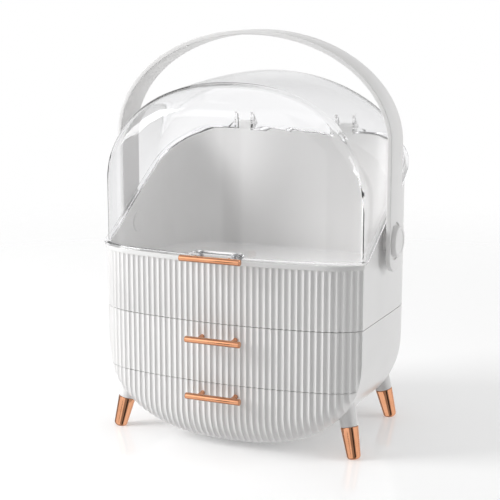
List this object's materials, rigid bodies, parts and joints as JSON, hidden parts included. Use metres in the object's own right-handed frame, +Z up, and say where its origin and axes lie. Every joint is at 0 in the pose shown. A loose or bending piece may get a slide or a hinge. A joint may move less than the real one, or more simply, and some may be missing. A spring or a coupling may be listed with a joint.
{
  "type": "makeup organizer",
  "caption": "Countertop makeup organizer with a clear hinged dust lid over an open compartment, stacked fluted drawers, an arched carry handle and short splayed legs.",
  "frame": {"origin": "centre of the bounding box's bottom face, on the floor between the feet and below the handle's swing axis", "axes": "+X to the right as the front is seen, -Y out of the drawer fronts, +Z up"},
  "size_m": [0.3126, 0.234, 0.417],
  "materials": {
    "white_plastic": "satin-gloss moulded white plastic",
    "clear_plastic": "clear polished moulded plastic",
    "rose_gold": "polished rose-gold plating",
    "steel": "plain zinc-plated steel"
  },
  "bodies": {
    "case": {"upper_casing": "white_plastic", "lower_casing": "white_plastic", "drawer_shelf": "white_plastic", "case_deck": "white_plastic", "deck_screw_front_left": "steel", "deck_screw_rear_left": "steel", "deck_screw_front_right": "steel", "deck_screw_rear_right": "steel", "hinge_pin_left": "white_plastic", "hinge_pin_right": "white_plastic", "handle_pivot_left": "white_plastic", "handle_knob_left": "white_plastic", "handle_pivot_right": "white_plastic", "handle_knob_right": "white_plastic", "leg_ferrule_front_left": "rose_gold", "leg_front_left": "white_plastic", "leg_ferrule_rear_left": "rose_gold", "leg_rear_left": "white_plastic", "leg_ferrule_front_right": "rose_gold", "leg_front_right": "white_plastic", "leg_ferrule_rear_right": "rose_gold", "leg_rear_right": "white_plastic"},
    "lid": {"lid": "clear_plastic", "lid_pull": "rose_gold", "lid_pull_screw_left": "steel", "lid_pull_screw_right": "steel"},
    "handle": {"handle": "white_plastic"},
    "upper_drawer": {"upper_drawer_front": "white_plastic", "upper_drawer_tray": "white_plastic", "upper_drawer_pull": "rose_gold", "upper_drawer_pull_screw_left": "steel", "upper_drawer_pull_screw_right": "steel"},
    "lower_drawer": {"lower_drawer_front": "white_plastic", "lower_drawer_tray": "white_plastic", "lower_drawer_pull": "rose_gold", "lower_drawer_pull_screw_left": "steel", "lower_drawer_pull_screw_right": "steel"}
  },
  "joints": [
    {"name": "lid_hinge", "type": "hinge", "parent": "case", "child": "lid", "pos_m": [0, 0.1134, 0.31], "axis": [-1, 0, 0], "range_deg": [0, 90]},
    {"name": "handle_swing", "type": "hinge", "parent": "case", "child": "handle", "pos_m": [0, 0, 0.2107], "axis": [-1, 0, 0], "range_deg": [0, 120]},
    {"name": "upper_drawer_slide", "type": "slide", "parent": "case", "child": "upper_drawer", "axis": [0, -1, 0], "range_m": [0, 0.11]},
    {"name": "lower_drawer_slide", "type": "slide", "parent": "case", "child": "lower_drawer", "axis": [0, -1, 0], "range_m": [0, 0.11]}
  ],
  "couplings": [
    {"joint": "handle_swing", "follows": "lid_hinge", "ratio": 1.3}
  ]
}
